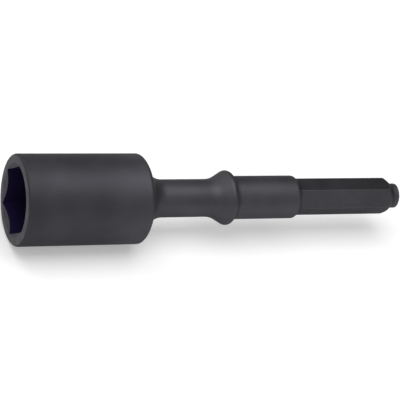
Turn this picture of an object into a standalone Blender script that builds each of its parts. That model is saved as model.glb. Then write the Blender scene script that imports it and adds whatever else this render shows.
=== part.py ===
"""Impact socket with a hexagon hammer shank, built from four separate steel pieces.

Metres, +Z up. The tool lies along X, with a flat of its drive hexagon down: the nut socket opens towards
-X, and the middle of the struck face at the other end is the origin. Each piece is modelled upright, with
its own Z along the tool's axis and its zero at the mouth, and one empty then lays the whole tool down.
"""

from math import asin, cos, pi, radians, sin, sqrt, tan

import bmesh
import bpy
from mathutils import Matrix

# Socket head
HEAD_DIA = 0.0460            # outside of the barrel
BARREL_LEN = 0.0641          # mouth to the start of the rounded shoulder
SHOULDER_LEN = 0.0040        # rounded shoulder, up to the seat of the shank
SHOULDER_LIP = 0.0020        # least width of the shoulder round the seat
MOUTH_EDGE_R = 0.0017        # rounded outer edge of the mouth
NUT_AF = 0.0324              # hexagon for a 32 mm nut, across flats
NUT_DEPTH = 0.0340           # depth of the hexagon
LEAD_IN_DIA = 0.0377         # conical lead-in where it meets the rim
LEAD_IN_ANGLE = radians(120)  # included angle of the lead-in
BOLT_BORE_DIA = 0.0270       # clearance for the bolt's end, behind the nut
BOLT_BORE_DEPTH = 0.0520     # measured from the mouth
NUT_ROLL = radians(16)       # turn of the nut hexagon against the drive hexagon

# Shank, from the head to the struck end
SPIGOT_AF = 0.0140           # hexagon that carries the head
SPIGOT_CORNER_DIA = 0.0160   # corners of that hexagon, turned off
SEAT_LAND = 0.0001           # rim of the seat flange
SEAT_FILLET_R = 0.0105       # hollow from the seat flange down to the neck
SEAT_SLOPE = radians(73)     # slope of that hollow at the rim, where it runs on into the shoulder
NECK_DIA = 0.0195
NECK_LEN = 0.02386           # plain neck, between its two hollows
COLLAR_DIA = 0.0283
COLLAR_FRONT_R = 0.0026      # crown, on the neck side
COLLAR_SLOPE = radians(30)   # cone between the crown and the neck fillet
COLLAR_FILLET_R = 0.0125     # hollow from the neck up to that cone
JOURNAL_DIA = 0.0225
JOURNAL_LEN = 0.0369         # from the collar to the drive hexagon
JOURNAL_EDGE_R = 0.0022      # rounded rear edge
DRIVE_AF = 0.0170            # drive hexagon, across flats
DRIVE_CORNER_DIA = 0.0195    # corners of that hexagon, turned off
DRIVE_LEN = 0.0574           # journal to button, with the chamfer
DRIVE_CHAMFER_LEN = 0.0042
BUTTON_DIA = 0.0131
BUTTON_LEN = 0.0034
BUTTON_EDGE = 0.0002         # broken edge of the struck face

# What keeps the head on the shank
NOSE_DIA = 0.0130            # round end of the spigot
NOSE_LEN = 0.0058            # from the web to the end of the spigot
NOSE_CHAMFER = 0.0008
GROOVE_DIA = 0.0108          # floor of the ring groove
WASHER_DIA = 0.0230
WASHER_THICK = 0.0020
RING_DIA = 0.0172
RING_THICK = 0.0016
RING_OPENING = radians(40)   # missing part of the ring

# Fits and facets
SEAT_GAP = 0.0002            # between faces that bear on each other
FIT_GAP = 0.0002             # all round a piece that sits in or on another
TURN_STEPS = 48              # facets round a turned piece
ARC_STEP = radians(15)       # facets along a rounded edge
OVERCUT = 0.0020             # how far a cutter stands clear of the blank

# Stations along the axis, measured from the mouth
SHOULDER_END = BARREL_LEN + SHOULDER_LEN
SEAT = SHOULDER_END + SEAT_GAP
SEAT_HOLLOW_R = min(SEAT_FILLET_R, ((HEAD_DIA - NECK_DIA) / 2 - SHOULDER_LIP) / (1 - cos(SEAT_SLOPE)))
SEAT_R = NECK_DIA / 2 + SEAT_HOLLOW_R * (1 - cos(SEAT_SLOPE))
NECK_START = SEAT + SEAT_LAND + SEAT_HOLLOW_R * sin(SEAT_SLOPE)
NECK_END = NECK_START + NECK_LEN
COLLAR_REAR_R = (COLLAR_DIA - JOURNAL_DIA) / 2
CONE_RISE = ((COLLAR_DIA - NECK_DIA) / 2
             - (COLLAR_FRONT_R + COLLAR_FILLET_R) * (1 - cos(COLLAR_SLOPE)))
COLLAR_TOP = (NECK_END + (COLLAR_FRONT_R + COLLAR_FILLET_R) * sin(COLLAR_SLOPE)
              + CONE_RISE / tan(COLLAR_SLOPE))
JOURNAL_START = COLLAR_TOP + COLLAR_REAR_R
JOURNAL_END = JOURNAL_START + JOURNAL_LEN
DRIVE_END = JOURNAL_END + DRIVE_LEN
OVERALL_LEN = DRIVE_END + BUTTON_LEN
WEB_FACE = BOLT_BORE_DEPTH
WASHER_REAR = WEB_FACE - SEAT_GAP
WASHER_FRONT = WASHER_REAR - WASHER_THICK
RING_REAR = WASHER_FRONT - SEAT_GAP
RING_FRONT = RING_REAR - RING_THICK
GROOVE_REAR = RING_REAR + SEAT_GAP / 2
GROOVE_FRONT = RING_FRONT - SEAT_GAP
NOSE_END = WEB_FACE - NOSE_LEN


def arc(centre_r, centre_z, radius_r, radius_z, start, end):
    """Points (radius, station) along an arc. The angle is 0 outwards and 90 degrees along the axis."""
    count = max(2, round(abs(end - start) / ARC_STEP) + 1)
    turns = [start + (end - start) * i / (count - 1) for i in range(count)]
    return [(centre_r + radius_r * cos(t), centre_z + radius_z * sin(t)) for t in turns]


def steel(name, colour, roughness):
    """A dark steel finish as a Principled material."""
    material = bpy.data.materials.new(name)
    material.use_nodes = True
    shader = material.node_tree.nodes["Principled BSDF"]
    shader.inputs["Base Color"].default_value = (*colour, 1.0)
    shader.inputs["Roughness"].default_value = roughness
    shader.inputs["Metallic"].default_value = 0.6
    return material


def add_object(name, bm, material=None):
    """Puts a bmesh into the scene as one object, shaded smooth with sharp corners."""
    mesh = bpy.data.meshes.new(name)
    bm.to_mesh(mesh)
    bm.free()
    mesh.shade_smooth()
    mesh.set_sharp_from_angle(angle=radians(35))
    obj = bpy.data.objects.new(name, mesh)
    bpy.context.scene.collection.objects.link(obj)
    if material is not None:
        mesh.materials.append(material)
    return obj


def turned(name, outline, material, closed):
    """A turned piece. The outline runs from the struck end towards the mouth down its outer side."""
    bm = bmesh.new()
    verts = [bm.verts.new((radius, 0.0, station)) for radius, station in outline]
    for first, second in zip(verts, verts[1:]):
        bm.edges.new((first, second))
    if closed:
        bm.edges.new((verts[-1], verts[0]))
    obj = add_object(name, bm, material)
    screw = obj.modifiers.new("turn", "SCREW")
    screw.axis = "Z"
    screw.steps = TURN_STEPS
    screw.render_steps = TURN_STEPS
    screw.use_merge_vertices = True
    screw.merge_threshold = 1e-6
    screw.use_smooth_shade = True
    return obj


def cut(obj, cutter):
    """Takes the cutter away from the object and leaves the cutter as a wire guide."""
    cutter.hide_render = True
    cutter.display_type = "WIRE"
    boolean = obj.modifiers.new(cutter.name, "BOOLEAN")
    boolean.operation = "DIFFERENCE"
    boolean.solver = "EXACT"
    boolean.object = cutter


def hexagon(bm, across_flats, station, roll=0.0):
    """Adds a hexagon wire at a station, with one corner towards Y before it is rolled."""
    made = bmesh.ops.create_circle(bm, segments=6, radius=across_flats / sqrt(3))
    bmesh.ops.rotate(bm, verts=made["verts"], matrix=Matrix.Rotation(roll, 3, "Z"))
    bmesh.ops.translate(bm, verts=made["verts"], vec=(0.0, 0.0, station))
    return made["verts"]


def loop_edges(verts):
    """The edges between the given vertices."""
    inside = set(verts)
    return list({e for v in verts for e in v.link_edges if e.verts[0] in inside and e.verts[1] in inside})


def raise_faces(bm, faces, height):
    """Extrudes faces along the axis into a closed body."""
    made = bmesh.ops.extrude_face_region(bm, geom=faces)
    moved = [v for v in made["geom"] if isinstance(v, bmesh.types.BMVert)]
    bmesh.ops.translate(bm, verts=moved, vec=(0.0, 0.0, height))
    bmesh.ops.recalc_face_normals(bm, faces=bm.faces)


def hexagon_broach(name, across_flats, start, end, roll=0.0):
    """A solid hexagon that cuts a hexagon hole."""
    bm = bmesh.new()
    face = bm.faces.new(hexagon(bm, across_flats, start, roll))
    raise_faces(bm, [face], end - start)
    return add_object(name, bm)


def hexagon_mill(name, across_flats, blank_dia, start, end):
    """A ring with a hexagon hole, which cuts six flats on a round blank."""
    bm = bmesh.new()
    inner = loop_edges(hexagon(bm, across_flats, start))
    outer = loop_edges(hexagon(bm, 2 * blank_dia, start))
    faces = bmesh.ops.bridge_loops(bm, edges=inner + outer)["faces"]
    raise_faces(bm, faces, end - start)
    return add_object(name, bm)


def socket_head(material):
    """The barrel: turned outside and bored inside, then broached for the nut and for the spigot."""
    outer = HEAD_DIA / 2
    pilot = NUT_AF / 2 - FIT_GAP
    spigot_pilot = SPIGOT_AF / 2 - FIT_GAP
    lead_in = LEAD_IN_DIA / 2
    lead_in_len = (lead_in - pilot) / tan(LEAD_IN_ANGLE / 2)
    # the shoulder is a quarter of a flat ellipse, cut short where the shank seats
    shoulder_reach = SHOULDER_LEN / sqrt(1 - (SEAT_R / outer) ** 2)
    shoulder = arc(0.0, BARREL_LEN, outer, shoulder_reach, asin(SHOULDER_LEN / shoulder_reach), 0.0)
    edge = arc(outer - MOUTH_EDGE_R, MOUTH_EDGE_R, MOUTH_EDGE_R, MOUTH_EDGE_R, 0.0, -pi / 2)
    inside = [
        (lead_in, 0.0),
        (pilot, lead_in_len),
        (pilot, NUT_DEPTH),
        (BOLT_BORE_DIA / 2, NUT_DEPTH),
        (BOLT_BORE_DIA / 2, BOLT_BORE_DEPTH),
        (spigot_pilot, BOLT_BORE_DEPTH),
        (spigot_pilot, SHOULDER_END),
    ]
    head = turned("socket_head", shoulder + edge + inside, material, closed=True)
    cut(head, hexagon_broach("nut_broach", NUT_AF, -OVERCUT, NUT_DEPTH, NUT_ROLL))
    spigot_hole = SPIGOT_AF + 2 * FIT_GAP
    cut(head, hexagon_broach("spigot_broach", spigot_hole, WEB_FACE - OVERCUT, SHOULDER_END + OVERCUT))
    return head


def collar_outline():
    """The bead collar, from the journal towards the neck."""
    top = COLLAR_DIA / 2
    rear = arc(top - COLLAR_REAR_R, COLLAR_TOP, COLLAR_REAR_R, COLLAR_REAR_R, pi / 2, 0.0)
    front = arc(top - COLLAR_FRONT_R, COLLAR_TOP, COLLAR_FRONT_R, COLLAR_FRONT_R, 0.0, -COLLAR_SLOPE)
    hollow = arc(
        NECK_DIA / 2 + COLLAR_FILLET_R, NECK_END, COLLAR_FILLET_R, COLLAR_FILLET_R, pi - COLLAR_SLOPE, pi)
    return rear + front[1:] + hollow


def drive_shank(material):
    """The shank: turned all over, then milled to a hexagon at the drive end and at the spigot."""
    button = BUTTON_DIA / 2
    drive = DRIVE_CORNER_DIA / 2
    journal = JOURNAL_DIA / 2
    neck = NECK_DIA / 2
    spigot = SPIGOT_CORNER_DIA / 2
    nose = NOSE_DIA / 2
    groove = GROOVE_DIA / 2
    outline = [
        (0.0, OVERALL_LEN),
        (button - BUTTON_EDGE, OVERALL_LEN),
        (button, OVERALL_LEN - BUTTON_EDGE),
        (button, DRIVE_END),
        (drive, DRIVE_END - DRIVE_CHAMFER_LEN),
        (drive, JOURNAL_END),
    ]
    outline += arc(
        journal - JOURNAL_EDGE_R, JOURNAL_END - JOURNAL_EDGE_R, JOURNAL_EDGE_R, JOURNAL_EDGE_R, pi / 2, 0.0)
    outline += collar_outline()
    outline += arc(
        neck + SEAT_HOLLOW_R, NECK_START, SEAT_HOLLOW_R, SEAT_HOLLOW_R, pi, pi + SEAT_SLOPE)
    outline += [
        (SEAT_R, SEAT),
        (spigot, SEAT),
        (spigot, WEB_FACE),
        (nose, WEB_FACE),
        (nose, GROOVE_REAR),
        (groove, GROOVE_REAR),
        (groove, GROOVE_FRONT),
        (nose, GROOVE_FRONT),
        (nose, NOSE_END + NOSE_CHAMFER),
        (nose - NOSE_CHAMFER, NOSE_END),
        (0.0, NOSE_END),
    ]
    shank = turned("drive_shank", outline, material, closed=False)
    cut(shank, hexagon_mill("drive_mill", DRIVE_AF, JOURNAL_DIA, JOURNAL_END, DRIVE_END))
    cut(shank, hexagon_mill("spigot_mill", SPIGOT_AF, NECK_DIA, WEB_FACE, SEAT))
    return shank


def thrust_washer(material):
    """The flat washer that bears on the web inside the barrel."""
    outer = WASHER_DIA / 2
    hole = NOSE_DIA / 2 + FIT_GAP
    outline = [(outer, WASHER_REAR), (outer, WASHER_FRONT), (hole, WASHER_FRONT), (hole, WASHER_REAR)]
    return turned("thrust_washer", outline, material, closed=True)


def retaining_ring(material):
    """The open spring ring in the spigot's groove: a square section spun most of the way round."""
    outer = RING_DIA / 2
    inner = GROOVE_DIA / 2 + FIT_GAP
    corners = [(inner, RING_FRONT), (outer, RING_FRONT), (outer, RING_REAR), (inner, RING_REAR)]
    bm = bmesh.new()
    section = bm.faces.new([bm.verts.new((radius, 0.0, station)) for radius, station in corners])
    sweep = 2 * pi - RING_OPENING
    steps = round(TURN_STEPS * sweep / (2 * pi))
    bmesh.ops.spin(bm, geom=[section], axis=(0.0, 0.0, 1.0), cent=(0.0, 0.0, 0.0), angle=sweep, steps=steps)
    bmesh.ops.recalc_face_normals(bm, faces=bm.faces)
    return add_object("retaining_ring", bm, material)


def build():
    for obj in list(bpy.data.objects):
        bpy.data.objects.remove(obj)
    black = steel("black_oxide", (0.055, 0.054, 0.060), 0.45)
    worn = steel("black_oxide_shank", (0.055, 0.054, 0.060), 0.42)
    hardened = steel("hardened_washer", (0.11, 0.11, 0.12), 0.40)
    spring = steel("spring_steel", (0.08, 0.08, 0.09), 0.35)
    tool_axis = bpy.data.objects.new("tool_axis", None)
    tool_axis.location = (-OVERALL_LEN, 0.0, 0.0)
    tool_axis.rotation_euler = (0.0, pi / 2, 0.0)
    bpy.context.scene.collection.objects.link(tool_axis)
    socket_head(black)
    drive_shank(worn)
    thrust_washer(hardened)
    retaining_ring(spring)
    for obj in bpy.context.scene.objects:
        if obj is not tool_axis:
            obj.parent = tool_axis


build()
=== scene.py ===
# %% [markdown]
# # An impact socket on a hexagon hammer shank
# The tool is four pieces of steel: a thick barrel that takes the nut, a shank that goes into an electric
# hammer, and a washer and a spring ring inside the barrel that hold the two together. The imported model
# gives their sizes and places. This lesson models each piece again with finer edges, gives it its finish,
# and sets up the light and the camera.

from math import asin, atan2, cos, degrees, pi, radians, sin, sqrt, tan

import bmesh
import bpy
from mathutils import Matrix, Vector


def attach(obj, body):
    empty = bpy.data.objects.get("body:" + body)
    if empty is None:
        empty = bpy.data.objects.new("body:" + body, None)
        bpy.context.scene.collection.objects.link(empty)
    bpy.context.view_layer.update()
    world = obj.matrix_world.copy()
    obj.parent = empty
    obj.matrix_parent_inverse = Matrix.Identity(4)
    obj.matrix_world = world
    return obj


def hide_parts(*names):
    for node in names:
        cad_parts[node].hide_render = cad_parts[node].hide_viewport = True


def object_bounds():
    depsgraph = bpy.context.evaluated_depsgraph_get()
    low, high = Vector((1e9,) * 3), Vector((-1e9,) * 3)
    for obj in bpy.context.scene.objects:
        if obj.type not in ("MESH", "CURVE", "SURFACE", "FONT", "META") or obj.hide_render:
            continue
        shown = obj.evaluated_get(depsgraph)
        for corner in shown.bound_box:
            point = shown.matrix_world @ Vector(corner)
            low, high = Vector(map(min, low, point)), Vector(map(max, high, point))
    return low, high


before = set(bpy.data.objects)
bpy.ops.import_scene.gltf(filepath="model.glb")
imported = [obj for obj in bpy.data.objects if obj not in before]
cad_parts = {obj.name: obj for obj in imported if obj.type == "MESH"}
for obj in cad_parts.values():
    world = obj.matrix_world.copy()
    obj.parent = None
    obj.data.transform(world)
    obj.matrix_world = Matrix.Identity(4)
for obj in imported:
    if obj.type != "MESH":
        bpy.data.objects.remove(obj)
cad_box = [list(corner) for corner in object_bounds()]
bpy.ops.object.select_all(action="DESELECT")
print("nodes:", sorted(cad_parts), "box:", cad_box)

# %% [markdown]
# ## The camera
# The photograph was taken with a long lens from the mouth's side, a little from above, and rolled so that
# the tool's axis runs level across the picture. One could move a camera about until the two pictures look
# alike. Here its place, turn and lens were worked out from the tool's own outline, so it is simply put
# there. It has no depth of field and no shift.

# %% Camera
CAMERA_PLACE = (-0.4915, -0.6431, 0.5440)
CAMERA_TURN = (52.379, -14.741, -19.317)
CAMERA_LENS, SENSOR_WIDTH = 161.6, 36.0

bpy.ops.object.camera_add(location=CAMERA_PLACE, rotation=[radians(turn) for turn in CAMERA_TURN])
camera = bpy.context.active_object
camera.name = "photo_camera"
camera.data.lens = CAMERA_LENS
camera.data.sensor_width = SENSOR_WIDTH
bpy.context.scene.camera = camera
print("camera at", CAMERA_PLACE, "with a lens of", CAMERA_LENS, "mm")

# %% [markdown]
# ## How a turned piece is drawn
# Nearly all of this tool comes off a lathe. Stacked cylinders would leave seams where they meet, so each
# piece is drawn the way a turner reads a drawing: half of its outline, as corners, each with the radius of
# its rounding. Stations are millimetres from the mouth, and the struck face at the other end is the origin.

# %% Outline helpers
MM = 0.001
OVERALL = -cad_box[0][0] / MM
print("the tool is", round(OVERALL, 2), "mm long")


def rounded(corners, steps=6):
    """Points (station, radius) along an outline. A corner's third number is the radius of its rounding."""
    points = []
    for i, corner in enumerate(corners):
        station, radius = corner[:2]
        if len(corner) == 2:
            points.append((station, radius))
            continue
        before, after, size = corners[i - 1], corners[(i + 1) % len(corners)], corner[2]
        first = atan2(before[1] - radius, before[0] - station)
        last = atan2(after[1] - radius, after[0] - station)
        half = ((last - first + pi) % (2 * pi) - pi) / 2
        reach = size / abs(sin(half))
        centre = station + reach * cos(first + half), radius + reach * sin(first + half)
        sweep = (pi - 2 * abs(half)) * (-1 if half > 0 else 1)
        start = first + half + pi - sweep / 2
        for k in range(steps + 1):
            turn = start + sweep * k / steps
            points.append((centre[0] + size * cos(turn), centre[1] + size * sin(turn)))
    return points


def arc(station, radius, size, start, end, steps=10, length=None):
    """Points on an arc, or on an ellipse of that length. 0 degrees faces outwards, 90 the struck end."""
    turns = [radians(start + (end - start) * k / steps) for k in range(steps + 1)]
    return [(station + (length or size) * sin(t), radius + size * cos(t)) for t in turns]


# %% [markdown]
# ## How it is turned
# A lathe spins the steel past the tool. In Blender one vertex is extruded from point to point along the
# outline, and the wire is then spun once round the X axis. A Screw modifier would give the same body, but
# Spin leaves a plain mesh that can be cut at once. The first and the last turn meet, so their points are
# merged, and the normals are turned outwards.

# %% Lathe helpers
TURN_STEPS = 144
TURNED_MERGE = 0.002


def close_up(merge):
    """In edit mode, merges points closer than that many millimetres and turns the faces outwards."""
    bpy.ops.mesh.select_all(action="SELECT")
    bpy.ops.mesh.remove_doubles(threshold=merge * MM)
    bpy.ops.mesh.normals_make_consistent(inside=False)


def turned(name, outline):
    """Extrudes one vertex along the outline and spins it into a closed body."""
    bpy.ops.object.select_all(action="DESELECT")
    bpy.ops.mesh.primitive_plane_add(size=MM, location=(0, 0, 0))
    body = bpy.context.active_object
    body.name = body.data.name = name
    spots = [((station - OVERALL) * MM, radius * MM) for station, radius in outline]
    bpy.ops.object.mode_set(mode="EDIT")
    bpy.ops.mesh.select_mode(type="VERT")
    bpy.ops.mesh.select_all(action="SELECT")
    bpy.ops.mesh.merge(type="CENTER")
    bpy.ops.transform.translate(value=(spots[0][0], 0, spots[0][1]))
    for here, there in zip(spots, spots[1:]):
        step = (there[0] - here[0], 0, there[1] - here[1])
        bpy.ops.mesh.extrude_region_move(TRANSFORM_OT_translate={"value": step})
    bpy.ops.mesh.select_all(action="SELECT")
    bpy.ops.mesh.spin(steps=TURN_STEPS, angle=2 * pi, center=(0, 0, 0), axis=(1, 0, 0))
    close_up(TURNED_MERGE)
    bpy.ops.object.mode_set(mode="OBJECT")
    print(name, "turned:", len(outline), "points,", len(body.data.polygons), "faces")
    return body


# %% [markdown]
# ## How a hexagon is cut
# A broach cuts the hexagons in the barrel, and a mill cuts the ones on the shank. Both are a prism here: a
# cylinder with six sides, laid along the axis, with its long edges bevelled because no real hexagon has a
# knife edge. A Boolean then takes it out of the barrel, or keeps only what of the shank lies inside it.
# Where the prism leaves the steel it runs on a little, because two faces in one plane can leave slivers.

# %% Hexagon helpers
OVERRUN = 2.0


def hexagon(name, across_flats, start, end, corner, roll=0.0):
    """A hexagon prism between two stations, with rounded long edges. Without roll, a flat faces up."""
    bpy.ops.object.select_all(action="DESELECT")
    bpy.ops.mesh.primitive_cylinder_add(
        vertices=6, radius=across_flats / sqrt(3) * MM, depth=(end - start) * MM,
        location=(((start + end) / 2 - OVERALL) * MM, 0, 0), rotation=(0, pi / 2, 0))
    prism = bpy.context.active_object
    prism.name = name
    bpy.ops.object.transform_apply(location=True, rotation=True, scale=True)
    bpy.ops.object.mode_set(mode="EDIT")
    bpy.ops.mesh.select_all(action="SELECT")
    if roll:
        bpy.ops.transform.rotate(value=radians(-roll), orient_axis="X", center_override=(0, 0, 0))
    bpy.ops.mesh.select_mode(type="EDGE")
    bpy.ops.mesh.select_all(action="DESELECT")
    mesh = bmesh.from_edit_mesh(prism.data)
    for edge in mesh.edges:
        along = edge.verts[0].co - edge.verts[1].co
        edge.select_set(abs(along.x) > 0.9 * along.length)
    bmesh.update_edit_mesh(prism.data)
    bpy.ops.mesh.bevel(
        offset=corner * tan(pi / 6) * MM, segments=4, affect="EDGES", clamp_overlap=True)
    bpy.ops.object.mode_set(mode="OBJECT")
    return prism


def pick(body):
    """Makes a body the active object, with nothing else selected."""
    bpy.ops.object.select_all(action="DESELECT")
    bpy.context.view_layer.objects.active = body
    body.select_set(True)


def combine(body, tool, operation):
    """Applies a Boolean with the tool to the body and removes the tool."""
    pick(body)
    boolean = body.modifiers.new(operation.lower(), "BOOLEAN")
    boolean.operation = operation
    boolean.solver = "EXACT"
    boolean.object = tool
    bpy.ops.object.modifier_apply(modifier=boolean.name)
    bpy.data.objects.remove(tool)
    print(body.name, operation.lower(), "->", len(body.data.polygons), "faces")


# %% [markdown]
# ## Finishing a mesh
# Booleans leave doubled points and crisp edges. Doubles are merged, the cut edges get a small bevel, and
# the faces are shaded smooth except across real corners. Weighted normals let the large flats stay flat, so
# the light doesn't bend across them next to a small rounding.

# %% Finishing helper
CUT_MERGE, SMOOTH_LIMIT = 0.003, 30


def finished(body, edge=0.12, limit=28):
    """Merges doubles, breaks the sharp edges, and shades the body."""
    pick(body)
    bpy.ops.object.mode_set(mode="EDIT")
    close_up(CUT_MERGE)
    bpy.ops.mesh.dissolve_degenerate(threshold=CUT_MERGE * MM)
    bpy.ops.object.mode_set(mode="OBJECT")
    if edge:
        bevel = body.modifiers.new("broken_edges", "BEVEL")
        bevel.width = edge * MM
        bevel.segments = 2
        bevel.limit_method = "ANGLE"
        bevel.angle_limit = radians(limit)
        bevel.use_clamp_overlap = True
        bpy.ops.object.modifier_apply(modifier=bevel.name)
    bpy.ops.object.shade_smooth_by_angle(angle=radians(SMOOTH_LIMIT))
    weighted = body.modifiers.new("flat_flats", "WEIGHTED_NORMAL")
    weighted.keep_sharp = True
    bpy.ops.object.modifier_apply(modifier=weighted.name)
    mesh = bmesh.new()
    mesh.from_mesh(body.data)
    open_edges = sum(1 for e in mesh.edges if len(e.link_faces) != 2)
    volume = mesh.calc_volume(signed=True)
    mesh.free()
    print(body.name, "finished:", len(body.data.polygons), "faces,", open_edges, "open edges,",
          round(volume * 1e6, 2), "cm3")


# %% [markdown]
# ## The barrel
# On the real tool the barrel is a short thick tube: a rounded outer edge at the mouth, a flat rim, a cone
# that leads the nut in, the hexagon, a round bore for the bolt's end, and a rounded shoulder at the back.
# The shoulder is part of a flat ellipse, which runs on into the shank's hollow. The tube is turned with
# bores a little smaller than the hexagons, which are then broached.

# %% Where the barrel meets the shank
SEAT, WEB = 68.1, 52.0
NECK_R, ROOT_R, ROOT_SLOPE = 9.75, 10.5, 73.0
SEAT_R = NECK_R + ROOT_R * (1 - cos(radians(ROOT_SLOPE)))
SPIGOT_FLATS, SPIGOT_CORNER, SPIGOT_PLAY = 14.0, 0.3, 0.2
print("the barrel seats at", SEAT, "mm, on a ring of", round(2 * SEAT_R, 2), "mm")

# %% Barrel blank
BARREL_R, MOUTH_EDGE, SHOULDER_START = 23.0, 1.7, 64.1
NUT_FLATS, NUT_CORNER, NUT_DEPTH, NUT_ROLL = 32.4, 0.6, 34.0, 16.0
LEAD_IN_R, LEAD_IN_SLOPE, NUT_BORE_R, BOLT_BORE_R = 18.85, 60.0, 16.0, 13.5
RIM_EDGE, BORE_HOLLOW = 0.3, 0.6
lead_in_depth = (LEAD_IN_R - NUT_BORE_R) / tan(radians(LEAD_IN_SLOPE))
spigot_bore_r = SPIGOT_FLATS / 2 - SPIGOT_PLAY

shoulder_len = SEAT - SHOULDER_START
shoulder_reach = shoulder_len / sqrt(1 - (SEAT_R / BARREL_R) ** 2)
shoulder_end = degrees(asin(shoulder_len / shoulder_reach))
shoulder = arc(SHOULDER_START, 0.0, BARREL_R, shoulder_end, 0.0, 14, shoulder_reach)
mouth_edge = arc(MOUTH_EDGE, BARREL_R - MOUTH_EDGE, MOUTH_EDGE, 0.0, -90.0, 10)
mouth_and_bore = [
    mouth_edge[-1], (0.0, LEAD_IN_R, RIM_EDGE), (lead_in_depth, NUT_BORE_R), (NUT_DEPTH, NUT_BORE_R),
    (NUT_DEPTH, BOLT_BORE_R), (WEB, BOLT_BORE_R, BORE_HOLLOW), (WEB, spigot_bore_r), (SEAT, spigot_bore_r),
    shoulder[0]]
socket_barrel = turned("socket_barrel", shoulder + mouth_edge[:-1] + rounded(mouth_and_bore))

# %% Nut hexagon and spigot hole
nut_broach = hexagon("nut_broach", NUT_FLATS, -OVERRUN, NUT_DEPTH, NUT_CORNER, NUT_ROLL)
combine(socket_barrel, nut_broach, "DIFFERENCE")
spigot_hole = SPIGOT_FLATS + 2 * SPIGOT_PLAY
spigot_broach = hexagon("spigot_broach", spigot_hole, WEB - OVERRUN, SEAT + OVERRUN, SPIGOT_CORNER)
combine(socket_barrel, spigot_broach, "DIFFERENCE")
finished(socket_barrel)

# %% [markdown]
# ## The shank
# The shank is one forging: a hollow that runs from the barrel's shoulder into a plain neck, a bead collar
# that a retainer holds, a round journal that the hammer guides, the drive hexagon, and a short round button
# that is struck. It is turned up to the journal. The drive bar and the spigot are turned as bars of their
# own, trimmed to their hexagons, and joined to it, because one cut over the whole shank would flatten the
# journal as well.

# %% Stations along the shank
SEAT_GAP, SEAT_LAND = 0.05, 0.25
NECK_LEN, JOURNAL_LEN, DRIVE_LEN = 23.86, 36.9, 57.4
COLLAR_R, JOURNAL_R = 14.15, 11.25
COLLAR_FRONT, COLLAR_REAR = 2.6, COLLAR_R - JOURNAL_R
COLLAR_HOLLOW, COLLAR_SLOPE = 12.5, 30.0
NECK_START = SEAT + SEAT_GAP + SEAT_LAND + ROOT_R * sin(radians(ROOT_SLOPE))
NECK_END = NECK_START + NECK_LEN
cone, bends = radians(COLLAR_SLOPE), COLLAR_FRONT + COLLAR_HOLLOW
cone_rise = COLLAR_R - NECK_R - bends * (1 - cos(cone))
COLLAR_TOP = NECK_END + bends * sin(cone) + cone_rise / tan(cone)
JOURNAL_START = COLLAR_TOP + COLLAR_REAR
JOURNAL_END = JOURNAL_START + JOURNAL_LEN
DRIVE_END = JOURNAL_END + DRIVE_LEN
print("neck", round(NECK_START, 2), "journal", round(JOURNAL_START, 2), "drive end", round(DRIVE_END, 2))

# %% Neck, collar and journal
NOSE_END, GROOVE_FRONT, GROOVE_REAR = 46.2, 47.8, 49.7
NOSE_R, GROOVE_R = 6.5, 5.4
NOSE_EDGE, GROOVE_EDGE, SEAT_EDGE, COLLAR_FOOT, JOURNAL_EDGE = 0.7, 0.15, 0.08, 0.3, 2.2
COLLAR_REAR_SWEEP = 82.0
shank_seat = SEAT + SEAT_GAP

root = arc(NECK_START, NECK_R + ROOT_R, ROOT_R, 180.0 + ROOT_SLOPE, 180.0, 20)
hollow = arc(NECK_END, NECK_R + COLLAR_HOLLOW, COLLAR_HOLLOW, 180.0, 180.0 - COLLAR_SLOPE, 8)
crown = arc(COLLAR_TOP, COLLAR_R - COLLAR_FRONT, COLLAR_FRONT, -COLLAR_SLOPE, 0.0, 8)
collar_rear = arc(COLLAR_TOP, JOURNAL_R, COLLAR_REAR, 0.0, COLLAR_REAR_SWEEP, 12)
nose = [
    (NOSE_END, 0.0), (NOSE_END, NOSE_R, NOSE_EDGE), (GROOVE_FRONT, NOSE_R, GROOVE_EDGE),
    (GROOVE_FRONT, GROOVE_R), (GROOVE_REAR, GROOVE_R), (GROOVE_REAR, NOSE_R, GROOVE_EDGE),
    (shank_seat, NOSE_R), (shank_seat, SEAT_R, SEAT_EDGE), root[0]]
rear = [
    collar_rear[-1], (JOURNAL_START, JOURNAL_R, COLLAR_FOOT), (JOURNAL_END, JOURNAL_R, JOURNAL_EDGE),
    (JOURNAL_END, 0.0)]
shank_outline = rounded(nose, 8)[:-1] + root + hollow + crown + collar_rear[1:-1] + rounded(rear, 8)
hammer_shank = turned("hammer_shank", shank_outline)

# %% Drive hexagon and button
DRIVE_FLATS, DRIVE_CORNER, DRIVE_R, DRIVE_CHAMFER, DRIVE_ROOT = 17.0, 0.15, 9.75, 4.2, 5.8
BUTTON_R, BUTTON_ROOT, BUTTON_EDGE = 6.55, 0.4, 0.25
drive_start = JOURNAL_END - DRIVE_ROOT
drive_bar = turned("drive_bar", rounded([
    (drive_start, 0.0), (drive_start, DRIVE_R), (DRIVE_END - DRIVE_CHAMFER, DRIVE_R),
    (DRIVE_END, BUTTON_R, BUTTON_ROOT), (OVERALL, BUTTON_R, BUTTON_EDGE), (OVERALL, 0.0)]))
drive_mill = hexagon("drive_mill", DRIVE_FLATS, drive_start - OVERRUN, OVERALL + OVERRUN, DRIVE_CORNER)
combine(drive_bar, drive_mill, "INTERSECT")
combine(hammer_shank, drive_bar, "UNION")

# %% Spigot
SPIGOT_R, SPIGOT_ROOT = 8.0, 2.2
spigot_end = SEAT + SPIGOT_ROOT
spigot_bar = turned("spigot_bar", [(WEB, 0.0), (WEB, SPIGOT_R), (spigot_end, SPIGOT_R), (spigot_end, 0.0)])
spigot_mill = hexagon("spigot_mill", SPIGOT_FLATS, WEB - OVERRUN, spigot_end + OVERRUN, SPIGOT_CORNER)
combine(spigot_bar, spigot_mill, "INTERSECT")
combine(hammer_shank, spigot_bar, "UNION")
finished(hammer_shank)

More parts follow.
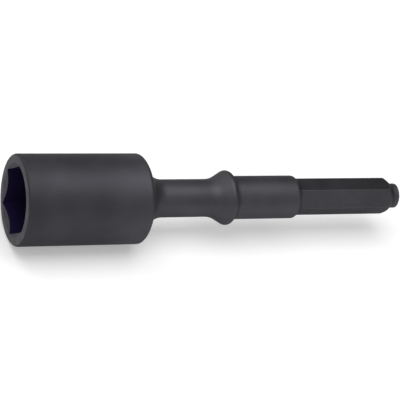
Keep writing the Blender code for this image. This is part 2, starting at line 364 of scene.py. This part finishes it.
# %% [markdown]
# ## The washer and the spring ring
# Both sit deep in the barrel, and only show when one looks into the mouth. The washer is a flat turned ring
# with rounded edges. The spring ring is a bar of square section, bent most of the way round, so its section
# is spun through 320 degrees and its two ends are closed.

# %% Washer
WASHER_FRONT, WASHER_REAR, WASHER_R, WASHER_HOLE_R = 49.8, 51.8, 11.5, 6.7
WASHER_EDGE, HOLE_EDGE, OUTLINE_START_R = 0.4, 0.15, 9.0
backing_washer = turned("backing_washer", rounded([
    (WASHER_FRONT, OUTLINE_START_R), (WASHER_FRONT, WASHER_R, WASHER_EDGE),
    (WASHER_REAR, WASHER_R, WASHER_EDGE), (WASHER_REAR, WASHER_HOLE_R, HOLE_EDGE),
    (WASHER_FRONT, WASHER_HOLE_R, HOLE_EDGE), (WASHER_FRONT, OUTLINE_START_R)], 4))
finished(backing_washer, edge=0)

# %% Spring ring
RING_MIDDLE, RING_MIDDLE_R, RING_THICK, RING_WIDE = 48.8, 7.1, 1.6, 3.0
RING_SWEEP, RING_STEPS = 320.0, 96
bpy.ops.object.select_all(action="DESELECT")
bpy.ops.mesh.primitive_plane_add(
    size=1.0, location=((RING_MIDDLE - OVERALL) * MM, 0, RING_MIDDLE_R * MM), rotation=(pi / 2, 0, 0))
spring_ring = bpy.context.active_object
spring_ring.name = spring_ring.data.name = "spring_ring"
spring_ring.scale = (RING_THICK * MM, RING_WIDE * MM, 1.0)
bpy.ops.object.transform_apply(location=True, rotation=True, scale=True)
bpy.ops.object.mode_set(mode="EDIT")
bpy.ops.mesh.select_all(action="SELECT")
bpy.ops.mesh.spin(steps=RING_STEPS, angle=radians(RING_SWEEP), center=(0, 0, 0), axis=(1, 0, 0))
close_up(TURNED_MERGE)
bpy.ops.object.mode_set(mode="OBJECT")
finished(spring_ring, edge=0.25, limit=40)

# %% [markdown]
# ## Where the pieces belong
# Each modelled piece stands for its imported node, which is hidden, and rides on the tool's one body. Its box
# is worked out in millimetres but not printed.

# %% Ride
for piece, node, finish_slot in (
        (socket_barrel, "socket_head", "head_steel"),
        (hammer_shank, "drive_shank", "shank_steel"),
        (backing_washer, "thrust_washer", "washer_steel"),
        (spring_ring, "retaining_ring", "ring_steel")):
    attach(piece, "root")
    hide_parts(node)
    made = [[round(f(v.co[i] for v in piece.data.vertices) / MM, 2) for i in range(3)] for f in (min, max)]

# %% [markdown]
# ## Building with nodes
# A node tree is drawn by hand in the shader editor, one node and one link at a time. In a script the same
# few moves come back all the time, so a small class holds them: add a node, fill a socket with a number or
# a link, do sums, ramp a value, and blend two colours.

# %% Node helpers


class Nodes:
    """The moves of the shader editor, for one node tree."""

    def __init__(self, tree):
        self.tree = tree

    def add(self, kind, operation=None, **inputs):
        """Adds a node. An input's name has _ in place of each space."""
        node = self.tree.nodes.new(kind)
        if operation:
            node.operation = operation
        for name, value in inputs.items():
            self.put(node.inputs[name.replace("_", " ")], value)
        return node

    def put(self, socket, value):
        """Links a socket to an output, or sets it to a plain value."""
        if isinstance(value, bpy.types.NodeSocket):
            self.tree.links.new(value, socket)
        else:
            socket.default_value = value

    def maths(self, operation, first, second=0.0, clamp=False):
        node = self.add("ShaderNodeMath", operation)
        node.use_clamp = clamp
        self.put(node.inputs[0], first)
        self.put(node.inputs[1], second)
        return node.outputs[0]

    def ramp(self, value, low, high, at_low=0.0, at_high=1.0):
        """Maps a value smoothly between two levels."""
        node = self.add(
            "ShaderNodeMapRange", Value=value, From_Min=low, From_Max=high, To_Min=at_low, To_Max=at_high)
        node.interpolation_type = "SMOOTHSTEP"
        return node.outputs["Result"]

    def blend(self, factor, first, second, kind="MIX"):
        """Goes from the first colour to the second as the factor goes from 0 to 1."""
        node = self.add("ShaderNodeMix")
        node.data_type = "RGBA"
        node.blend_type = kind
        self.put(node.inputs[0], factor)
        self.put(node.inputs[6], first)
        self.put(node.inputs[7], second)
        return node.outputs[2]


# %% [markdown]
# ## Where on the piece
# Every finish here is read from the piece's own coordinates: the station along the axis, and the distance
# from the axis. So a mask such as "a line at this station" is one call, and it stays on the steel from
# whichever side one looks. On a metal, Specular Tint is the colour that it keeps when one looks along its
# surface. Bare steel turns bright there and black oxide does so much less, so it is set well below 1.

# %% Finish helpers
SATIN_GRAZING = 0.58


class Finish(Nodes):
    """One steel finish, with the station and the radius of each point."""

    def __init__(self, name, metallic, grazing=SATIN_GRAZING):
        self.material = bpy.data.materials.new(name)
        self.material.use_nodes = True
        super().__init__(self.material.node_tree)
        self.shader = self.tree.nodes["Principled BSDF"]
        self.shader.inputs["Metallic"].default_value = metallic
        self.shader.inputs["Specular Tint"].default_value = (grazing, grazing, grazing, 1.0)
        self.shader.inputs["Specular IOR Level"].default_value = 0.0
        self.spot = self.add("ShaderNodeTexCoord").outputs["Object"]
        split = self.add("ShaderNodeSeparateXYZ", Vector=self.spot)
        self.station = self.maths("ADD", split.outputs["X"], OVERALL * MM)
        across = self.add("ShaderNodeCombineXYZ", Y=split.outputs["Y"], Z=split.outputs["Z"])
        length = self.add("ShaderNodeVectorMath", operation="LENGTH", Vector=across.outputs[0])
        self.radius = length.outputs["Value"]

    def noise(self, scale, detail=3.0, roughness=0.55):
        node = self.add(
            "ShaderNodeTexNoise", Scale=scale, Detail=detail, Roughness=roughness, Vector=self.spot)
        return node.outputs["Fac"]

    def rings(self, scale, outwards=0.83):
        """Fine turned rings: along the axis on round faces, and outwards on end faces."""
        run = self.maths("ADD", self.station, self.maths("MULTIPLY", self.radius, outwards))
        node = self.add("ShaderNodeTexNoise", Scale=scale, Detail=2.0)
        node.noise_dimensions = "1D"
        self.put(node.inputs["W"], run)
        return node.outputs["Fac"]

    def fade(self, length, low, high, at_low=0.0, at_high=1.0):
        """A ramp along a length, between two levels in millimetres."""
        return self.ramp(length, low * MM, high * MM, at_low, at_high)

    def band(self, station, half_width, min_radius=None, max_radius=None, soft=0.2, core=0.25):
        """1 at a station, fading to 0 on both sides, outside or inside a radius. Millimetres."""
        away = self.maths("ABSOLUTE", self.maths("SUBTRACT", self.station, station * MM))
        mask = self.fade(away, core * half_width, half_width, 1.0, 0.0)
        for limit, outside in ((min_radius, 1.0), (max_radius, 0.0)):
            if limit is not None:
                side = self.fade(self.radius, limit - soft, limit + soft, 1.0 - outside, outside)
                mask = self.maths("MULTIPLY", mask, side)
        return mask

    def total(self, masks):
        """The sum of several masks, at most 1."""
        result = 0.0
        for mask in masks:
            result = self.maths("ADD", result, mask, clamp=True)
        return result


# %% [markdown]
# ## Black oxide
# The barrel and the shank have a satin black oxide: dark grey with a faint violet cast, a little cloudy,
# with fine turned rings, lighter steel on edges that are partly knocked bare and partly a painted highlight,
# and painted shade that darkens the hollow corners. One plain dark colour would look like rubber. A metal
# with a blurred reflection looks like steel, so the shader is mostly metallic, and its own dark colour tints
# what it reflects.

# %% Black oxide
# Colours: bare steel for knocked edges and for painted highlights, painted shade for the hollow corners, and
# the bore's blue-black, partly its own oxide and partly painted shade.
BARE_STEEL_AND_HIGHLIGHT = (0.30, 0.294, 0.31, 1.0)
PAINTED_CORNER_SHADE = (0.015, 0.014, 0.020, 1.0)
BORE_BLUE_BLACK_AND_SHADE = (0.024, 0.016, 0.064, 1.0)
MOSTLY_METAL = 0.8
CLOUD_SCALE, GRAIN_SCALE, RING_SCALE, SCUFF_SCALE = 70.0, 900.0, 5200.0, 160.0
CLOUDY_TONE, CLOUDY_ROUGHNESS, RINGED_ROUGHNESS = 0.08, 0.12, 0.10
WEAR_AND_HIGHLIGHT_LEAST, WEAR_AND_HIGHLIGHT_SPREAD, WEAR_AND_HIGHLIGHT_SMOOTHER, CORNER_SHADE_STRENGTH = 0.16, 0.12, 0.15, 0.35


def black_oxide(name, tone, roughness, worn_and_lit, shaded_corners, zones=None, inside=None, grazing=SATIN_GRAZING):
    """Satin black oxide. Four functions give masks: worn and highlit edges, painted corner shade, other
    zones, the bore.
    """
    finish = Finish(name, MOSTLY_METAL, grazing)
    maths, blend = finish.maths, finish.blend
    cloud = finish.noise(CLOUD_SCALE, detail=4.0)
    grain = finish.noise(GRAIN_SCALE, detail=2.0)
    fine_rings = finish.rings(RING_SCALE)
    dark, light = [(*(level * v for v in tone), 1.0) for level in (1 - CLOUDY_TONE, 1 + CLOUDY_TONE)]
    colour = blend(finish.ramp(cloud, 0.3, 0.7), dark, light)
    rough = maths("ADD", roughness - CLOUDY_ROUGHNESS / 2, maths("MULTIPLY", cloud, CLOUDY_ROUGHNESS))
    for mask, lighter, rougher in zones(finish) if zones else []:
        colour = blend(mask, colour, (lighter, lighter, lighter, 1.0), "MULTIPLY")
        rough = maths("ADD", rough, maths("MULTIPLY", mask, rougher))
    # Lighter bare steel on the edges: real wear on the button, and on the barrel's rim and cone edge partly
    # wear, partly a painted highlight.
    patchy_spread = finish.ramp(finish.noise(SCUFF_SCALE, detail=5.0, roughness=0.7), 0.35, 0.62)
    wear_and_highlight_level = maths("ADD", WEAR_AND_HIGHLIGHT_LEAST, maths("MULTIPLY", patchy_spread, WEAR_AND_HIGHLIGHT_SPREAD))
    wear_and_highlight = maths("MULTIPLY", finish.total(worn_and_lit(finish)), wear_and_highlight_level)
    colour = blend(wear_and_highlight, colour, BARE_STEEL_AND_HIGHLIGHT)
    # Painted shade: the hollow corners are darkened.
    colour = blend(maths("MULTIPLY", finish.total(shaded_corners(finish)), CORNER_SHADE_STRENGTH), colour, PAINTED_CORNER_SHADE)
    # The bore is darkened: partly its own blue-black, partly painted shade of the recess.
    if inside:
        colour = blend(inside(finish), colour, BORE_BLUE_BLACK_AND_SHADE)
    finish.put(finish.shader.inputs["Base Color"], colour)
    ringed = maths("MULTIPLY", maths("SUBTRACT", fine_rings, 0.5), RINGED_ROUGHNESS)
    smooth_where_worn_and_lit = maths("MULTIPLY", wear_and_highlight, WEAR_AND_HIGHLIGHT_SMOOTHER)
    rough = maths("SUBTRACT", maths("ADD", rough, ringed), smooth_where_worn_and_lit, clamp=True)
    finish.put(finish.shader.inputs["Roughness"], rough)
    relief = maths("ADD", maths("MULTIPLY", fine_rings, 0.6), maths("MULTIPLY", grain, 0.4))
    bump = finish.add("ShaderNodeBump", Strength=0.35, Distance=0.03 * MM, Height=relief)
    finish.put(finish.shader.inputs["Normal"], bump.outputs["Normal"])
    return finish.material


# %% [markdown]
# ## The barrel's finish
# The rim and the edge where the hexagon leaves the lead-in cone are lighter: partly steel that many nuts
# have knocked bare, partly a painted highlight. The bore is a darker blue-black: partly its first unworn
# oxide, partly painted shade of the deep recess. The rear of the barrel is painted lighter, a painted light
# that grows towards the back, and the mouth's end is a little rougher.

# %% Barrel masks
CONE_EDGE, RIM_INNER_R, RIM_OUTER_R = 18.95, 18.6, 22.4


def past_cone(f):
    """How far a point lies past the lead-in cone, measured along the radius."""
    return f.maths("ADD", f.radius, f.maths("MULTIPLY", f.station, tan(radians(LEAD_IN_SLOPE))))


def barrel_wear_and_highlight(f):
    """Lighter: the rim, and the edge between the lead-in cone and the hexagon; partly bare, partly painted
    highlight.
    """
    off_edge = f.maths("ABSOLUTE", f.maths("SUBTRACT", past_cone(f), CONE_EDGE * MM))
    on_edge = f.fade(off_edge, 0.1, 0.35, 1.0, 0.0)
    # A painted highlight along the edge where the hexagon leaves the cone, partly wear.
    broached_edge_highlight = f.maths("MULTIPLY", on_edge, f.fade(f.radius, RIM_INNER_R, RIM_INNER_R + 0.2, 0.6, 0.0))
    return [f.band(0.0, 0.6, RIM_INNER_R, RIM_OUTER_R, soft=0.3), broached_edge_highlight]


def barrel_corner_shade(f):
    """Painted shade in the corner where the barrel seats on the shank."""
    return [f.band(SEAT, 0.5, max_radius=17.6)]


def barrel_inside(f):
    """The bore behind the lead-in cone, and not the shoulder, which is as narrow at the back."""
    deep = f.fade(past_cone(f), CONE_EDGE, CONE_EDGE + 0.55)
    deep = f.maths("MULTIPLY", deep, f.fade(f.station, 0.05, 0.3))
    bored = f.fade(f.radius, 18.75, 19.2, 1.0, 0.0)
    bored = f.maths("MULTIPLY", bored, f.fade(f.station, 60.0, 62.0, 1.0, 0.0))
    return f.maths("MULTIPLY", deep, bored)


def barrel_zones(f):
    """The rear, painted lighter where more light falls, and the mouth's end. Each has a mask, a lighter tone
    and an added roughness.
    """
    # Painted light: the rear of the barrel is made lighter.
    painted_lighter_rear = f.fade(f.station, 36.0, SHOULDER_START)
    mouth_end = f.fade(f.station, 5.0, 17.0, 1.0, 0.0)
    return [(painted_lighter_rear, 1.32, 0.03), (mouth_end, 1.0, 0.08)]


# %% Barrel finish
SATIN_ROUGHNESS, BARREL_TONE = 0.52, (0.0597, 0.0579, 0.0660)
barrel_black = black_oxide(
    "barrel_black_oxide", BARREL_TONE, SATIN_ROUGHNESS, barrel_wear_and_highlight, barrel_corner_shade, barrel_zones, barrel_inside)
socket_barrel.data.materials.clear()
socket_barrel.data.materials.append(barrel_black)
print(barrel_black.name, len(barrel_black.node_tree.nodes), "nodes")

# %% [markdown]
# ## The shank's finish
# The shank has the same black, a shade lighter, and only the edge of the struck button is knocked bare. The
# flats of its hexagon are milled and not turned, so they have a finish of their own: smoother, which makes
# them reflect more clearly, and darker to someone who looks along them. A soft mask could blend the two
# finishes, but on the tool they part at the edge of each flat, so whole faces get the second material.

# %% Shank finish
SHANK_TONE, MILLED_LIGHTER = (0.0759, 0.0740, 0.0828), 1.07
MILLED_ROUGHNESS, MILLED_GRAZING = 0.30, 0.42


def shank_wear(f):
    """Knocked bare: the edge of the struck button."""
    return [f.band(OVERALL - 0.2, 0.5, min_radius=6.0)]


def shank_corner_shade(f):
    """Painted shade in the corners behind the collar, behind the journal, and at the root of the button."""
    return [
        f.band(JOURNAL_START + 0.5, 1.8, max_radius=11.9),
        f.band(JOURNAL_END + 0.2, 1.6, max_radius=9.9),
        f.band(DRIVE_END + 0.2, 1.0, max_radius=6.9)]


shank_black = black_oxide("shank_black_oxide", SHANK_TONE, SATIN_ROUGHNESS, shank_wear, shank_corner_shade)
milled_tone = [MILLED_LIGHTER * v for v in SHANK_TONE]
milled_black = black_oxide(
    "milled_black_oxide", milled_tone, MILLED_ROUGHNESS, shank_wear, shank_corner_shade, grazing=MILLED_GRAZING)
hammer_shank.data.materials.clear()
for finish in (shank_black, milled_black):
    hammer_shank.data.materials.append(finish)
    print(finish.name, len(finish.node_tree.nodes), "nodes")

# %% Milled flats
ALONG_AXIS = 0.01
for face in hammer_shank.data.polygons:
    station = face.center.x / MM + OVERALL
    face.material_index = int(JOURNAL_END < station < DRIVE_END and abs(face.normal.x) < ALONG_AXIS)
print(sum(face.material_index for face in hammer_shank.data.polygons), "milled faces")

# %% [markdown]
# ## The washer's and the ring's finish
# The washer is hardened and only oiled, so it is lighter, with ground rings on its face. The ring is blued
# spring steel with a slight sheen. Both shine more than the oxide, so they have a function of their own.

# %% Washer and ring finish
BARE_METAL, GROUND_ROUGHNESS = 0.95, 0.2
OIL_CLOUD_SCALE, GROUND_SCALE = 220.0, 9000.0


def oiled_steel(name, tone, tint, roughness):
    """Bare steel under oil, cloudy between two tones, with ground rings."""
    finish = Finish(name, BARE_METAL)
    cloud = finish.noise(OIL_CLOUD_SCALE, detail=4.0)
    ground = finish.rings(GROUND_SCALE)
    colour = finish.blend(finish.ramp(cloud, 0.3, 0.7), tone, tint)
    finish.put(finish.shader.inputs["Base Color"], colour)
    spread = finish.maths("MULTIPLY", ground, GROUND_ROUGHNESS)
    rough = finish.maths("ADD", roughness - GROUND_ROUGHNESS / 2, spread)
    finish.put(finish.shader.inputs["Roughness"], rough)
    bump = finish.add("ShaderNodeBump", Strength=0.3, Distance=0.02 * MM, Height=ground)
    finish.put(finish.shader.inputs["Normal"], bump.outputs["Normal"])
    return finish.material


ground_washer = oiled_steel("ground_washer", (0.10, 0.10, 0.11, 1), (0.13, 0.125, 0.125, 1), 0.40)
blued_spring = oiled_steel("blued_spring_steel", (0.06, 0.062, 0.08, 1), (0.09, 0.085, 0.09, 1), 0.35)
for piece, finish in ((backing_washer, ground_washer), (spring_ring, blued_spring)):
    piece.data.materials.clear()
    piece.data.materials.append(finish)
    print(piece.name, finish.name)

# %% [markdown]
# ## The floor
# The tool lies on plain white paper. Its colour does most of the work, and a little glow lifts it to white
# where the camera, a reflection or glass sees it. The glow lights nothing else, so the tool still casts its
# soft shadow.

# %% Floor
FLOOR_SIZE, FLOOR_MIDDLE, FLOOR_GAP = 8.0, -0.1, 0.1 * MM
bpy.ops.object.select_all(action="DESELECT")
bpy.ops.mesh.primitive_plane_add(
    size=FLOOR_SIZE, location=(FLOOR_MIDDLE, 0.0, cad_box[0][2] - FLOOR_GAP))
floor = bpy.context.active_object
floor.name = "floor"
print("floor at", round(floor.location.z / MM, 1), "mm")

# %% White paper
PAPER, PAPER_GLOW = 0.78, 0.32
paper = bpy.data.materials.new("white_paper")
paper.use_nodes = True
shader = paper.node_tree.nodes["Principled BSDF"]
shader.inputs["Base Color"].default_value = (PAPER, PAPER, PAPER, 1.0)
shader.inputs["Roughness"].default_value = 0.9
shader.inputs["Specular IOR Level"].default_value = 0.0
shader.inputs["Emission Color"].default_value = (1.0, 1.0, 1.0, 1.0)
paper_nodes = Nodes(paper.node_tree)
path = paper_nodes.add("ShaderNodeLightPath").outputs
seen = paper_nodes.maths("MAXIMUM", path["Is Camera Ray"], path["Is Glossy Ray"])
seen = paper_nodes.maths("MAXIMUM", seen, path["Is Transmission Ray"])
paper_nodes.put(shader.inputs["Emission Strength"], paper_nodes.maths("MULTIPLY", seen, PAPER_GLOW))
floor.data.materials.append(paper)
print("paper", PAPER, "with a glow of", PAPER_GLOW)

# %% [markdown]
# ## The light
# Dark satin steel shows what stands around it, so the light is built as a small studio: one large softbox
# overhead for the long soft light along the upper side, and a dimmer one behind for the top edge. The room
# is paler in front than behind, and its far right corner is dark, which deepens the hollows that face that
# way. White paper rises a little at the back, behind the floor's edge.

# %% Lamps


def soft_lamp(name, place, tilt, width, height, watts):
    """A rectangular area lamp that faces down, tilted about X."""
    bpy.ops.object.light_add(type="AREA", location=place, rotation=(radians(tilt), 0, 0))
    lamp = bpy.context.active_object
    lamp.name = name
    lamp.data.shape = "RECTANGLE"
    lamp.data.size, lamp.data.size_y = width, height
    lamp.data.energy = watts
    print(name, watts, "W")


soft_lamp("softbox", (-0.133, -0.057, 0.72), tilt=0, width=0.85, height=0.672, watts=4.13)
soft_lamp("back_fill", (-0.41, 0.62, 0.48), tilt=-52, width=0.75, height=0.45, watts=1.39)

# %% Room
ROOM_FRONT, ROOM_BACK = 0.56, 0.22
DARK_CORNER, DARK_LEVEL = (0.90, 0.25, 0.36), 0.05
world = bpy.data.worlds.new("studio")
world.use_nodes = True
bpy.context.scene.world = world
studio = Nodes(world.node_tree)
outwards = studio.add("ShaderNodeTexCoord").outputs["Generated"]
toward = studio.add("ShaderNodeSeparateXYZ", Vector=outwards).outputs
walls = studio.ramp(toward["Y"], -0.5, 0.6, ROOM_FRONT, ROOM_BACK)
corner = studio.add("ShaderNodeVectorMath", "DOT_PRODUCT")
studio.put(corner.inputs[0], outwards)
studio.put(corner.inputs[1], DARK_CORNER)
shade = studio.ramp(corner.outputs["Value"], 0.70, 0.95, 1.0, DARK_LEVEL)
room = studio.maths("MULTIPLY", walls, shade)
print("room from", ROOM_FRONT, "in front to", ROOM_BACK, "behind")

# %% Raised paper
low = studio.ramp(toward["Z"], 0.12, 0.30, 1.0, 0.0)
raised_paper = studio.maths("MULTIPLY", low, studio.ramp(toward["Y"], 0.5, 0.85))
lift = studio.maths("MULTIPLY", raised_paper, studio.maths("SUBTRACT", 1.0, room))
backdrop = world.node_tree.nodes["Background"]
backdrop.inputs["Color"].default_value = (1.0, 1.0, 1.0, 1.0)
studio.put(backdrop.inputs["Strength"], studio.maths("ADD", room, lift))
bpy.context.scene.view_settings.view_transform = "Standard"
print("studio", len(world.node_tree.nodes), "nodes")
